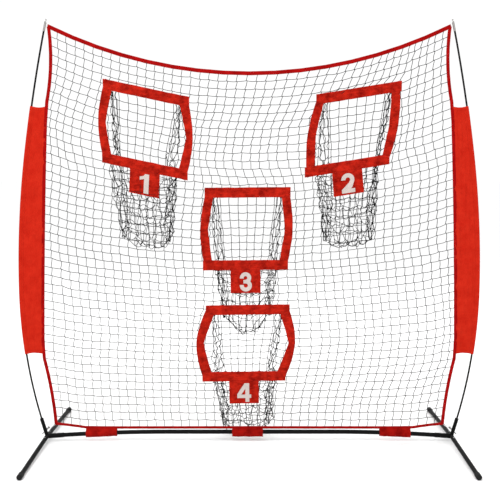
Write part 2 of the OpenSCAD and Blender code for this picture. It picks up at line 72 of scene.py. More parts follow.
TIP_LEAN = 12.5 * DEG

# Camera and lamps: lens and lamp width in the units that Blender takes
CAMERA_AT = (0, -3.951, 1.4634)
CAMERA_TILT = 83.613 * DEG
CAMERA_LENS = 55.57
CAMERA_SHIFT = 0.0015
SURROUND = 1.04
LAMPS = (
    ("key", (-1.6, -3.0, 5.2), 150, 2.5),
    ("fill", (3.2, -4.6, 2.6), 30, 3.0),
    ("rear", (0.5, 4.0, 4.5), 60, 4.0),
)


# ---- outlines

def gaps(points):
    """Distances between each point of a line and the next."""
    return np.linalg.norm(np.diff(points, axis=0), axis=1)


def length_of(points):
    return gaps(points).sum()


def unit(vectors):
    return vectors / np.maximum(np.linalg.norm(vectors, axis=-1), 1e-12)[..., None]


def resample(points, count):
    """That many points, evenly spaced along a line."""
    points = np.asarray(points, float)
    run = np.r_[0, np.cumsum(gaps(points))]
    at = np.linspace(0, run[-1], count)
    return np.stack([np.interp(at, run, points[:, k]) for k in range(points.shape[1])], axis=1)


def front_rings(node):
    """Rings of (x, z) points round the flat face that a CAD node turns to the front, longest first."""
    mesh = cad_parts[node].data
    points = [tuple(v.co) for v in mesh.vertices]
    front = min(p[1] for p in points) + 1e-5
    places = {}
    name = [places.setdefault((round(p[0], 6), round(p[2], 6)), len(places)) for p in points]
    edges = set()
    for polygon in mesh.polygons:
        if all(points[i][1] < front for i in polygon.vertices):
            ring = [name[i] for i in polygon.vertices]
            edges.update(zip(ring, ring[1:] + ring[:1]))
    follow = {a: b for a, b in edges if (b, a) not in edges}
    where = list(places)
    rings = []
    while follow:
        ring = [min(follow)]
        while ring[-1] in follow:
            ring.append(follow.pop(ring[-1]))
        rings.append(np.array([where[i] for i in ring[:-1]]))
    return sorted(rings, key=lambda r: -length_of(r))


def edges_of(ring):
    """A ring's edges, split where it turns sharply."""
    step = unit(np.roll(ring, -1, axis=0) - ring)
    cosine = (step * np.roll(step, 1, axis=0)).sum(axis=1)
    corners = np.flatnonzero(cosine < math.cos(35 * DEG))
    count = len(ring)
    ends = np.r_[corners[1:], corners[0] + count]
    return [ring[np.arange(a, b + 1) % count] for a, b in zip(corners, ends)]


def long_edges(node, axis):
    """Both long edges of a flat strip, in the order of that axis (0 for x, 1 for z)."""
    edges = sorted(edges_of(front_rings(node)[0]), key=length_of)[-2:]
    edges = [e if e[-1][axis] > e[0][axis] else e[::-1] for e in edges]
    return sorted(edges, key=lambda e: e[:, 1 - axis].mean())


def four_edges(ring):
    """A four-sided ring's edges: top and bottom left to right, left and right from the top down."""
    edges = edges_of(ring)
    top = max(edges, key=lambda e: e[:, 1].mean())
    bottom = min(edges, key=lambda e: e[:, 1].mean())
    left = min(edges, key=lambda e: e[:, 0].mean())
    right = max(edges, key=lambda e: e[:, 0].mean())
    across = [e if e[-1][0] > e[0][0] else e[::-1] for e in (top, bottom)]
    upright = [e if e[-1][1] < e[0][1] else e[::-1] for e in (left, right)]
    return across + upright


def inside(points, ring):
    """Which (x, z) points lie inside a ring."""
    x, z = points[..., 0], points[..., 1]
    found = np.zeros(x.shape, bool)
    for (ax, az), (bx, bz) in zip(ring, np.roll(ring, -1, axis=0)):
        if az != bz:
            found ^= ((az > z) != (bz > z)) & (x < (bx - ax) * (z - az) / (bz - az) + ax)
    return found


# ---- meshes

def piece(name, points, faces, material, weave=None, body="root"):
    """A smooth-shaded mesh that rides on a CAD body."""
    mesh = bpy.data.meshes.new(name)
    mesh.from_pydata(np.asarray(points, float).tolist(), [], faces)
    mesh.polygons.foreach_set("use_smooth", [True] * len(mesh.polygons))
    if weave is not None:
        layer = mesh.attributes.new("weave", "FLOAT_VECTOR", "POINT")
        layer.data.foreach_set("vector", np.asarray(weave, np.float32).ravel())
    mesh.materials.append(material)
    mesh.update()
    made = bpy.data.objects.new(name, mesh)
    bpy.context.scene.collection.objects.link(made)
    if body:
        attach(made, body)
    return made


def grid_faces(rows, columns, start=0, flip=False):
    i, j = np.meshgrid(np.arange(rows - 1), np.arange(columns - 1), indexing="ij")
    a = start + (i * columns + j).ravel()
    quads = np.stack([a, a + 1, a + columns + 1, a + columns], axis=1)
    return (quads[:, ::-1] if flip else quads).tolist()


def normals_of(grid):
    return unit(np.cross(np.gradient(grid, axis=1), np.gradient(grid, axis=0)))


def cloth(name, grid, thickness, material, body="root"):
    """A closed sheet round a grid of points, thinner along its border. Its weave attribute
    holds each point's place across and along the cloth, and its distance from the edge."""
    rows, columns = grid.shape[:2]
    across = np.linalg.norm(np.diff(grid, axis=1), axis=2).cumsum(axis=1)
    across = np.concatenate([np.zeros((rows, 1)), across], axis=1)
    along = np.linalg.norm(np.diff(grid, axis=0), axis=2).cumsum(axis=0)
    along = np.concatenate([np.zeros((1, columns)), along], axis=0)
    edge = np.minimum(across, across[:, -1:] - across)
    edge = np.minimum(edge, np.minimum(along, along[-1:] - along))
    weave = np.stack([across, along, edge], axis=2).reshape(-1, 3)
    half = thickness / 2 * np.clip(0.35 + edge / thickness, 0, 1)
    offset = normals_of(grid) * half[..., None]
    points = np.concatenate([(grid + offset).reshape(-1, 3), (grid - offset).reshape(-1, 3)])
    border = [(0, j) for j in range(columns)] + [(i, columns - 1) for i in range(1, rows)]
    border += [(rows - 1, j) for j in range(columns - 2, -1, -1)] + [(i, 0) for i in range(rows - 2, 0, -1)]
    ring = [i * columns + j for i, j in border]
    count = rows * columns
    walls = [[a, b, b + count, a + count] for a, b in zip(ring[1:] + ring[:1], ring)]
    faces = grid_faces(rows, columns, flip=False) + grid_faces(rows, columns, count, flip=True) + walls
    return piece(name, points, faces, material, np.tile(weave, (2, 1)), body)


def ripple(across, along, seed, size, stretch=1.0, waves=9):
    """A smooth random field of about unit height, its waves drawn out along the cloth by stretch."""
    rng = np.random.default_rng(seed)
    total = np.zeros(np.broadcast(across, along).shape)
    for _ in range(waves):
        angle, phase = rng.uniform(0, 2 * math.pi, 2)
        step = 2 * math.pi / (size * rng.uniform(0.6, 1.7))
        total += np.sin((across * math.cos(angle) + along * math.sin(angle) / stretch) * step + phase)
    return total / math.sqrt(waves)


def tube_parts(line, radius, sides):
    """Points, faces and weave of a closed tube along a line."""
    tangent = unit(np.gradient(line, axis=0))
    normal = unit(np.cross(tangent, [0.31, 0.83, 0.46]))
    other = np.cross(tangent, normal)
    turn = np.arange(sides) * 2 * math.pi / sides
    wide = np.broadcast_to(radius, len(line))[:, None, None]
    ring = np.cos(turn)[None, :, None] * normal[:, None] + np.sin(turn)[None, :, None] * other[:, None]
    points = (line[:, None] + ring * wide).reshape(-1, 3)
    run = np.r_[0, np.cumsum(gaps(line))]
    weave = np.stack(np.broadcast_arrays(np.cos(turn)[None], np.sin(turn)[None], run[:, None]), axis=2)
    i, j = np.meshgrid(np.arange(len(line) - 1), np.arange(sides), indexing="ij")
    a, b = (i * sides + j).ravel(), (i * sides + (j + 1) % sides).ravel()
    faces = np.stack([a, b, b + sides, a + sides], axis=1).tolist()
    last = (len(line) - 1) * sides
    caps = [list(range(sides))[::-1], list(range(last, last + sides))]
    return points, faces + caps, weave.reshape(-1, 3)


def tubes(name, lines, radius, material, sides=6, body="root"):
    """One mesh of closed tubes along several lines."""
    points, faces, weave, start = [], [], [], 0
    for line in lines:
        p, f, w = tube_parts(np.asarray(line, float), radius, sides)
        points.append(p)
        weave.append(w)
        faces += [[k + start for k in face] for face in f]
        start += len(p)
    return piece(name, np.concatenate(points), faces, material, np.concatenate(weave), body)


def beads(name, centres, directions, half, radius, material, body="root", sides=6):
    """One mesh of small knots, each drawn out along its own direction."""
    shape = np.array([[-1.0, 0.05], [-0.8, 0.75], [0.0, 1.0], [0.8, 0.75], [1.0, 0.05]])
    lines = [c + d * (shape[:, :1] * half) for c, d in zip(centres, directions)]
    return tubes(name, lines, radius * shape[:, 1], material, sides, body)


def stitches(name, lines, out, material, body="root", sides=4):
    """Rows of sewn stitches along lines, each a short bent thread that stands out along out."""
    profile = np.array([-0.6, 0.55, 0.55, -0.6]) * STITCH_R
    at = np.array([-0.5, -0.3, 0.3, 0.5]) * STITCH_LEN
    made = []
    for line in lines:
        count = max(2, int(length_of(line) / STITCH_STEP))
        middle = resample(line, count)
        tangent = unit(np.gradient(middle, axis=0))
        made += [m + t * at[:, None] + out * profile[:, None] for m, t in zip(middle, tangent)]
    return tubes(name, made, STITCH_R, material, sides, body)


# ---- materials

class Shader:
    """A node material with a few short helpers."""

    def __init__(self, name, **sockets):
        self.material = bpy.data.materials.new(name)
        self.material.use_nodes = True
        self.tree = self.material.node_tree
        self.bsdf = self.tree.nodes["Principled BSDF"]
        for socket, value in sockets.items():
            self.bsdf.inputs[socket.replace("_", " ")].default_value = value

    def node(self, kind, inputs=(), **settings):
        made = self.tree.nodes.new(kind)
        for key, value in settings.items():
            setattr(made, key, value)
        for key, value in dict(inputs).items():
            if isinstance(value, bpy.types.NodeSocket):
                self.tree.links.new(value, made.inputs[key])
            else:
                made.inputs[key].default_value = value
        return made

    def math(self, operation, a, b=0.0, clamp=False):
        made = self.node("ShaderNodeMath", {0: a, 1: b}, operation=operation, use_clamp=clamp)
        return made.outputs[0]

    def times(self, a, b):
        return self.math("MULTIPLY", a, b)

    def plus(self, a, b, clamp=False):
        return self.math("ADD", a, b, clamp)

    def weave(self):
        """The cloth's own coordinates: across, along and distance from the edge."""
        read = self.node("ShaderNodeAttribute", attribute_name="weave")
        return self.node("ShaderNodeSeparateXYZ", {0: read.outputs["Vector"]}).outputs

    def place(self):
        return self.node("ShaderNodeTexCoord").outputs["Object"]

    def noise(self, scale, detail=4.0, vector=None, rough=0.55):
        vector = vector or self.place()
        settings = {"Vector": vector, "Scale": scale, "Detail": detail, "Roughness": rough}
        return self.node("ShaderNodeTexNoise", settings).outputs["Fac"]

    def ramp(self, value, low, high, out_low=0.0, out_high=1.0):
        inputs = {"Value": value, "From Min": low, "From Max": high, "To Min": out_low, "To Max": out_high}
        return self.node("ShaderNodeMapRange", inputs).outputs["Result"]

    def blend(self, share, a, b):
        made = self.node("ShaderNodeMix", {0: share}, data_type="RGBA")
        for socket, value in ((made.inputs[6], a), (made.inputs[7], b)):
            if isinstance(value, bpy.types.NodeSocket):
                self.tree.links.new(value, socket)
            else:
                socket.default_value = (*value, 1)
        return made.outputs[2]

    def finish(self, colour=None, roughness=None, height=None, strength=0.4, distance=0.0004):
        if colour is not None:
            self.tree.links.new(colour, self.bsdf.inputs["Base Color"])
        if roughness is not None:
            self.tree.links.new(roughness, self.bsdf.inputs["Roughness"])
        if height is not None:
            inputs = {"Height": height, "Strength": strength, "Distance": distance}
            bump = self.node("ShaderNodeBump", inputs)
            self.tree.links.new(bump.outputs["Normal"], self.bsdf.inputs["Normal"])
        return self.material


def woven(name, deep, bright, thread=0.0007, slope=0.0, sheen=0.004, rough=(0.55, 0.78), crease_highlight=0.0):
    """Woven synthetic cloth: crossing threads, slubs, painted fold shade and highlights, and worn edges.
    A slope of 1 turns the plain weave into a twill."""
    s = Shader(name, Sheen_Weight=sheen, Sheen_Roughness=0.4, Specular_IOR_Level=0.03)
    across, along, edge = s.weave()
    step = 2 * math.pi / thread
    slanted = s.plus(across, s.times(along, slope))
    warp = s.math("SINE", s.times(slanted, step))
    weft = s.math("SINE", s.times(along, step))
    threads = s.math("MULTIPLY_ADD", s.times(warp, weft), 0.5)
    threads.node.inputs[2].default_value = 0.5
    # Painted shade and light of soft folds: this noise darkens and lightens the colour, and sets roughness
    # and bumps.
    folds = s.ramp(s.noise(22.0, 6.0, rough=0.65), 0.35, 0.65)
    # Painted crease highlights: long slanted streaks that lift the colour towards bright, weighted by the
    # last argument.
    mapping = {"Vector": s.place(), "Rotation": (0, 0.7, 0), "Scale": (26, 26, 95)}
    skewed = s.node("ShaderNodeMapping", mapping)
    creases = s.ramp(s.noise(1.0, 3.0, skewed.outputs[0]), 0.52, 0.72)
    folds = s.plus(folds, s.times(creases, crease_highlight), clamp=True)
    slubs = s.ramp(s.noise(420.0, 2.0), 0.45, 0.75)
    shade = s.plus(s.times(folds, 0.75), s.times(threads, 0.2))
    shade = s.math("SUBTRACT", shade, s.times(slubs, 0.12), clamp=True)
    worn = s.ramp(s.plus(edge, s.times(s.noise(160.0), 0.002)), 0.0012, 0.0028, 1.0, 0.0)
    colour = s.blend(shade, deep, bright)
    pale = tuple(min(1.0, c * 1.15 + 0.02) for c in bright)
    colour = s.blend(s.times(worn, 0.35), colour, pale)
    height = s.plus(threads, s.times(slubs, 0.6))
    height = s.plus(height, s.times(folds, 2.0))
    return s.finish(colour, s.ramp(folds, 0, 1, rough[1], rough[0]), height, 0.55, 0.0005)


def twisted(name, deep, bright, pitch=0.006, strands=3, rough=0.6, fuzz=0.3, spec=0.15):
    """Laid or braided cord: strands that wind along each tube."""
    s = Shader(name, Specular_IOR_Level=spec)
    c, d, along = s.weave()
    turn = s.times(s.math("ARCTAN2", d, c), strands)
    lay = s.math("SINE", s.plus(turn, s.times(along, 2 * math.pi * strands / pitch)))
    fibre = s.noise(900.0, 3.0)
    wound = s.ramp(lay, -1, 1)
    shade = s.plus(s.times(wound, 0.6), s.times(fibre, 0.4), clamp=True)
    height = s.plus(wound, s.times(fibre, fuzz))
    roughness = s.ramp(fibre, 0.3, 0.7, rough + 0.12, rough - 0.1)
    return s.finish(s.blend(shade, deep, bright), roughness, height, 0.6, 0.0003)


def coated(name, deep, bright, rough, grain=900.0, bump=0.00006, metallic=0.0, spec=0.5):
    """Painted, moulded or plain metal surface with a fine grain, smudges and small scuffs."""
    s = Shader(name, Metallic=metallic, Specular_IOR_Level=spec)
    peel = s.noise(grain, 3.0)
    smudge = s.ramp(s.noise(9.0, 6.0, rough=0.7), 0.35, 0.68)
    stretched = s.node("ShaderNodeMapping", {"Vector": s.place(), "Scale": (60, 60, 7)}).outputs[0]
    marks = s.ramp(s.noise(6.0, 8.0, stretched, 0.8), 0.62, 0.7)
    shade = s.plus(s.times(smudge, 0.6), s.times(peel, 0.4), clamp=True)
    colour = s.blend(shade, deep, bright)
    light = tuple(min(1.0, c * 1.5 + 0.03) for c in bright)
    colour = s.blend(s.times(marks, 0.25), colour, light)
    roughness = s.ramp(smudge, 0, 1, rough - 0.07, rough + 0.08)
    roughness = s.plus(roughness, s.times(marks, 0.1))
    height = s.plus(peel, s.times(marks, 0.4))
    return s.finish(colour, roughness, height, 0.5, bump)


def grey(level):
    return (level, level, level)


# Each cloth's deep and bright colours are the ends of its painted fold shade and crease highlights.
red_sleeve = woven("red_sleeve_cloth", (0.41, 0.011, 0.004), (0.50, 0.019, 0.007))
red_band = woven("red_band_cloth", (0.15, 0.002, 0.0006), (0.50, 0.016, 0.006), thread=0.0008, crease_highlight=0.6)
red_tape = woven("dark_red_tape", (0.22, 0.001, 0.001), (0.36, 0.003, 0.003), thread=0.0011, slope=1.0)
red_thread = twisted("red_thread", (0.18, 0.002, 0.002), (0.36, 0.006, 0.004), 0.0016, rough=0.5, spec=0.05)
# The base loops' red is darker than the sleeves': painted shade of the loop curving under the crossbar.
red_loop = woven("red_loop_cloth", (0.14, 0.001, 0.0006), (0.36, 0.006, 0.003), crease_highlight=0.3)
pale_print = woven("pale_print", (0.44, 0.39, 0.36), (0.56, 0.48, 0.45), thread=0.0008, sheen=0.0)
twine = twisted("black_twine", grey(0.003), (0.012, 0.012, 0.013), pitch=0.007, spec=0.08)
white_elastic = twisted("white_elastic", grey(0.60), (0.82, 0.82, 0.80), pitch=0.004, strands=6)
black_paint = coated("black_powder_coat", grey(0.002), grey(0.006), 0.45, spec=0.05)
black_glass = coated("black_fibreglass", grey(0.003), grey(0.006), 0.3, 2500.0, 0.00002, spec=0.1)
black_rubber = coated("black_rubber", grey(0.004), grey(0.011), 0.6, 1400.0, 0.0001, spec=0.14)
black_plastic = coated("black_plastic", grey(0.004), grey(0.01), 0.38, 1100.0, 0.00004, spec=0.16)
bright_steel = coated("zinc_steel", (0.45, 0.45, 0.46), grey(0.62), 0.32, 1800.0, 0.00003, 1.0)
ferrule_metal = coated("ferrule_metal", (0.10, 0.10, 0.11), (0.2, 0.2, 0.21), 0.35, 2200.0, 0.00003, 1.0)
tip_metal = coated("tip_metal", (0.24, 0.23, 0.22), (0.42, 0.40, 0.39), 0.4, 1600.0, 0.00004, 0.9)
cord_cover = coated("shock_cord_cover", grey(0.01), grey(0.03), 0.7, 2600.0, 0.0001)

CAD_FINISH = {
    "corner": black_paint, "leg": black_paint, "crossbar": black_paint, "foot": black_rubber,
    "button": bright_steel, "hook": black_plastic, "pole": black_glass, "ferrules": ferrule_metal,
    "shock": cord_cover, "tip": tip_metal,
}
for node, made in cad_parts.items():
    finish = CAD_FINISH.get(node.split("_")[0])
    if finish:
        made.data.materials.clear()
        made.data.materials.append(finish)


# ---- hems

def mitred(line, reach):
    """A line drawn on past both of its ends."""
    first = line[0] - unit(line[1] - line[0]) * reach
    last = line[-1] + unit(line[-1] - line[-2]) * reach
    return np.concatenate([[first], line, [last]])


def hem(name, node, axis, seed, mitres, steps=330):
    """A folded tape between a CAD hem's two long edges, with mitred ends and two lines of stitches."""
    near, far = (resample(mitred(e, m), steps) for e, m in zip(long_edges(node, axis), mitres))
    across = far - near
    width = np.linalg.norm(across, axis=1).mean()
    centre = (near + far) / 2
    share = np.array([0, 0.04, 0.14, 0.3, 0.5, 0.7, 0.86, 0.96, 1.0])
    turned = HEM_TURN / width + share * (1 - 2 * HEM_TURN / width)
    flat = near[:, None] + across[:, None] * turned[None, :, None]
    along = np.linspace(0, length_of(near), steps)[:, None]
    place = share[None] * width
    puff = 0.0006 * ripple(place, along, seed, 0.028, 1.6) + 0.0003 * ripple(place, along, seed + 1, 0.009)
    grid = np.stack([flat[..., 0], puff, flat[..., 1]], axis=2)
    made = cloth(name, grid, HEM_T, red_tape)
    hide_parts(node)
    for side, sign in (("front", 1), ("rear", -1)):
        lines = [near + across * at for at in (0.2, 0.8)]
        lines = [np.stack([e[:, 0], np.full(steps, -sign * HEM_T / 2), e[:, 1]], axis=1) for e in lines]
        stitches(f"{name}_stitches_{side}", lines, FRONT * sign, red_thread)
    return centre


centre_top = hem("tape_top", "hem_top", 0, 11, (0.0, HEM_MITRE))
centre_bottom = hem("tape_bottom", "hem_bottom", 0, 12, (0.006, 0.0))
centre_left = hem("tape_left", "hem_left", 1, 13, (0.004, 0.0))
centre_right = hem("tape_right", "hem_right", 1, 14, (0.0, 0.004))


# ---- pockets

class Pocket:
    """The edges of one pocket's mouth, taken from its CAD frame and bag."""

    def __init__(self, number):
        self.number = number
        outer, inner = (four_edges(r) for r in front_rings(f"pocket_frame_{number}")[:2])
        self.outer = dict(zip(("top", "bottom", "left", "right"), outer))
        self.inner = dict(zip(("top", "bottom", "left", "right"), inner))
        both = [(resample(a, 13) + resample(b, 13)) / 2 for a, b in zip(outer, inner)]
        self.seam = np.concatenate([both[0], both[3][1:], both[1][::-1][1:], both[2][::-1][1:-1]])
        self.outline = np.concatenate([outer[0], outer[3][1:], outer[1][::-1][1:], outer[2][::-1][1:-1]])
        self.centre = self.outline.mean(axis=0)
        top = self.inner["top"]
        self.slope = (top[-1] - top[0])[1] / (top[-1] - top[0])[0]
        low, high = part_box(f"pocket_bag_{number}")
        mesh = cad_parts[f"pocket_bag_{number}"].data
        foot = [v.co.x for v in mesh.vertices if v.co.z < low.z + 0.03]
        self.bag_x = (min(foot) + max(foot)) / 2
        self.bag_z = low.z
        self.bag_y = high.y


pockets = [Pocket(k) for k in (1, 2, 3, 4)]


def kinked(edge, count, sharp):
    """An upright edge as a bent strip: its bulge is drawn towards a kink at mid height."""
    line = resample(edge, count)
    chord = np.linspace(0, 1, count)[:, None] * (line[-1] - line[0]) + line[0]
    bulge = line - chord
    deep = bulge[count // 2]
    share = 1 - np.abs(np.linspace(-1, 1, count))[:, None] ** sharp
    return chord + deep * share


INNER_KINK = {
    (1, "left"): 0.006, (1, "right"): 0.010, (2, "right"): -0.004,
    (3, "left"): 0.003, (3, "right"): 0.003, (4, "left"): 0.004, (4, "right"): 0.009,
}


def band(pocket, side, seed):
    """One sewn strip of a pocket's frame, with creases, puckers and two lines of stitches."""
    upright = side in ("left", "right")
    steps = 96
    outer, inner = pocket.outer[side], pocket.inner[side]
    if upright:
        outer = kinked(outer, steps, 1.7)
        inner = kinked(inner, steps, 1.15)
        over = [[0, 0.8]]
        first = inner[:1] + (outer[:1] - inner[:1]) * over
        last = inner[-1:] + (outer[-1:] - inner[-1:]) * over
        inner = resample(np.concatenate([first, inner, last]), steps)
        sign = -1 if side == "left" else 1
        middle = 1 - np.abs(np.linspace(-1, 1, steps))[:, None]
        outward = np.array([[sign, 0]])
        outer = outer - outward * 0.012 * (1 - middle) ** 2
        inner = inner + outward * INNER_KINK.get((pocket.number, side), 0) * (middle * 1.5 - 0.5)
    else:
        ends = pocket.outer[side]
        across = np.array([0, -1.0 if side == "top" else 1.0])
        drop = abs(pocket.inner[side].mean(axis=0)[1] - ends.mean(axis=0)[1])
        outer = resample(ends, steps)
        inner = outer + across * drop
    share = np.linspace(0, 1, 15)[None, :, None]
    flat = outer[:, None] * (1 - share) + inner[:, None] * share
    long = length_of(outer)
    width = np.linalg.norm(outer - inner, axis=1).mean()
    along = np.linspace(0, long, steps)[:, None]
    across = share[..., 0] * width
    waves = ripple(across, along, seed, 0.06, 0.8) * 0.0009
    waves += ripple(across, along, seed + 1, 0.018, 0.6) * 0.0004
    near_edge = np.abs(2 * share[..., 0] - 1) ** 6
    waves += near_edge * ripple(0 * across, along, seed + 2, 0.011) * 0.0004
    shift = near_edge * ripple(0 * across, along, seed + 3, 0.07) * 0.0005
    depth = -0.0024 if upright else -0.0033
    grid = np.stack([flat[..., 0], depth + np.clip(waves, -0.001, 0.001) * 0.8, flat[..., 1]], axis=2)
    grid[..., 0 if upright else 2] += shift
    name = f"band_{side}_{pocket.number}"
    made = cloth(name, grid, BAND_T, red_band)
    lines = [grid[2:-2, 1], grid[2:-2, -2]]
    lines = [line - [0, BAND_T / 2, 0] for line in lines]
    sewn = stitches(f"{name}_stitches", lines, FRONT, red_thread)
    return made


for pocket in pockets:
    strips = [band(pocket, side, 100 * pocket.number + 10 * k)
              for k, side in enumerate(("top", "bottom", "left", "right"))]
    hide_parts(f"pocket_frame_{pocket.number}")


# ---- netting

def slack_line(knots, length, pull, rng, wobble, parts=4, most=1.0):
    """A line through knots, each gap bowed by the twine that it has to spare."""
    a, b = knots[:-1], knots[1:]
    gap = np.linalg.norm(b - a, axis=1)[:, None]
    bow = np.minimum(0.43 * np.sqrt(np.maximum(length ** 2 - gap ** 2, 0)), most)
    way = pull + rng.normal(0, wobble, a.shape)
    chord = (b - a) / np.maximum(gap, 1e-9)
    way = unit(way - chord * (way * chord).sum(axis=1)[:, None])
    t = (np.arange(parts) / parts)[None, :, None]
    points = a[:, None] + (b - a)[:, None] * t + (way * bow)[:, None] * 4 * t * (1 - t)
    return np.concatenate([points.reshape(-1, 3), knots[-1:]])


def coons(bottom, top, left, right):
    """A grid of (x, z) points stretched between four edges, as [row, column]."""
    u = np.linspace(0, 1, len(bottom))[None, :, None]
    v = np.linspace(0, 1, len(left))[:, None, None]
    rows = bottom[None] * (1 - v) + top[None] * v
    columns = left[:, None] * (1 - u) + right[:, None] * u
    corners = (bottom[0] * (1 - u) + bottom[-1] * u) * (1 - v) + (top[0] * (1 - u) + top[-1] * u) * v
    return rows + columns - corners


def spread_from(pins, moved, rounds=500):
    """Spreads the moves of pinned knots smoothly over the free ones."""
    field = np.where(pins[..., None], moved, 0.0)
    for _ in range(rounds):
        mean = (field[:-2, 1:-1] + field[2:, 1:-1] + field[1:-1, :-2] + field[1:-1, 2:]) / 4
        free = ~pins[1:-1, 1:-1, None]
        field[1:-1, 1:-1] = np.where(free, mean, field[1:-1, 1:-1])
    return field


def main_net():
    """Knots of the main net as [row, column], hung in its hems and drawn round the pockets."""
    n = MESH_CELLS + 1
    rng = np.random.default_rng(7)
    edges = [resample(c, n) for c in (centre_bottom, centre_top, centre_left, centre_right)]
    bottom, top, left, right = edges
    ramp = np.linspace(0, 1, n)[:, None]
    left = left + (bottom[0] - left[0]) * (1 - ramp) + (top[0] - left[-1]) * ramp
    right = right + (bottom[-1] - right[0]) * (1 - ramp) + (top[-1] - right[-1]) * ramp
    flat = coons(bottom, top, left, right)
    pins = np.zeros((n, n), bool)
    pins[[0, -1]] = pins[:, [0, -1]] = True
    moved = np.zeros((n, n, 2))
    for pocket in pockets:
        held = inside(flat, pocket.outline)
        pins |= held
        for sign, side in ((-1, "left"), (1, "right")):
            edge = pocket.outer[side]
            chord = (edge[0] + edge[-1]) / 2
            bulge = abs(edge[len(edge) // 2][0] - chord[0])
            high = abs(edge[0][1] - edge[-1][1]) / 2
            tall = 1 - np.clip((flat[..., 1] - chord[1]) / high, -1, 1) ** 2
            near = np.clip(1 - np.abs(flat[..., 0] - chord[0]) / 0.12, 0, 1)
            moved[..., 0] += np.where(held, sign * bulge * tall * near * 0.9, 0)
        moved[..., 1] += np.where(held, rng.normal(0, 0.004, (n, n)), 0)
    free = (~pins).astype(float)[..., None]
    ease = free.copy()
    for _ in range(30):
        ease[1:-1, 1:-1] = free[1:-1, 1:-1] * (
            ease[:-2, 1:-1] + ease[2:, 1:-1] + ease[1:-1, :-2] + ease[1:-1, 2:] + ease[1:-1, 1:-1]) / 5
    ease = np.minimum(1, ease[..., 0] * 2.2)
    level = np.arange(n)
    lean = np.convolve(rng.normal(0, 1, n + 4), [0.25, 0.5, 0.8, 0.5, 0.25], "valid") * 0.004
    drift = np.cumsum(lean - lean.mean())
    drift -= np.linspace(drift[0], drift[-1], n)
    top_share = np.clip((level - 39) / 7, 0, 1)[:, None]
    top_drift = 0.022 + 0.075 * np.exp(-(((flat[..., 0] - 0.42) / 0.36) ** 2))
    side_ease = np.minimum(1, np.minimum(level, n - 1 - level)[None, :] / 6)
    slide = drift[:, None] * ease * (1 - top_share) + top_drift * side_ease * top_share
    tangent = unit(np.gradient(flat, axis=1))
    loose = ~pins
    loose[-1, 1:-1] = False
    field = spread_from(pins, moved)
    field += tangent * (slide * (loose | (level[:, None] == n - 1)))[..., None]
    checker = np.where((level[:, None] + level[None]) % 2, 1, -1) * 0.0011
    field[..., 1] += (checker + rng.normal(0, 0.0012, (n, n))) * loose
    field[..., 0] += rng.normal(0, 0.0012, (n, n)) * loose
    sway = ripple(flat[..., 0], flat[..., 1], 5, 0.35) * 0.002 * loose
    flat = flat + field
    return np.stack([flat[..., 0], sway, flat[..., 1]], axis=2)


def kept_runs(line, kept):
    """The stretches of a line of knots whose gaps are all kept."""
    runs, start = [], None
    for k, keep in enumerate(list(kept) + [False]):
        if keep and start is None:
            start = k
        if not keep and start is not None:
            runs.append(line[start:k + 1])
            start = None
    return runs


def outside_mouths(a, b):
    middle = ((a + b) / 2)[..., [0, 2]]
    return ~np.any([inside(middle, pocket.seam) for pocket in pockets], axis=0)


net = main_net()
net_rng = np.random.default_rng(21)
row_lines, column_lines = [], []
row_kept = outside_mouths(net[:, :-1], net[:, 1:])
column_kept = outside_mouths(net[:-1], net[1:])
for j in range(1, MESH_CELLS):
    for run in kept_runs(net[j], row_kept[j]):
        reach = gaps(run)[:, None] * net_rng.uniform(1.0, 1.006, (len(run) - 1, 1))
        row_lines.append(slack_line(run, reach, DOWN, net_rng, 0.35, most=0.004))
    for run in kept_runs(net[::-1, j], column_kept[::-1, j]):
        hook = np.array([KNOT_HALF * 0.85, 0, 0])
        doubled = np.repeat(run, 2, axis=0)
        doubled[0::2] -= hook
        doubled[1::2] += hook
        reach = gaps(doubled)[:, None]
        reach[1::2] *= net_rng.uniform(1.0, 1.01, (len(reach[1::2]), 1))
        column_lines.append(slack_line(doubled, reach, 0 * DOWN, net_rng, 1.0, parts=2, most=0.004))
net_rows = tubes("net_rows", row_lines, TWINE_R, twine)
tubes("net_columns", column_lines, TWINE_R, twine)
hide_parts("net_panel")
knots = net[1:-1, 1:-1].reshape(-1, 3)
hidden = np.any([inside(knots[:, [0, 2]], pocket.seam) for pocket in pockets], axis=0)
ways = unit(np.gradient(net, axis=1)[1:-1, 1:-1].reshape(-1, 3))
beads("net_knots", knots[~hidden], ways[~hidden], KNOT_HALF, 0.00185, twine)


# ---- bags

def smooth_step(x):
    x = np.clip(x, 0, 1)
    return x * x * (3 - 2 * x)


# Cells across a bag's strip, gathers in each side, rows in the mouth and under the foot
STRIP_CELLS = 6
GATHERS = 8
MOUTH_ROWS = 8
FOOT_ROWS = 3
CORNER_SHARE = 0.1
# Half widths of the back wall, the foot and the outline, then what differs from bag 1 to bag 4
WALL_HALF = 0.118
FOOT_HALF = 0.100
BULGE_TOP = (0.184, 0.168, 0.172, 0.174)
BULGE_FOOT = 0.132
BULGE_SHIFT = (-0.022, 0.0, 0.0, 0.0)
WALL_SHIFT = (-0.040, 0.004, -0.004, -0.010)
FOOT_SAG = (0.024, 0.020, 0.078, 0.018)


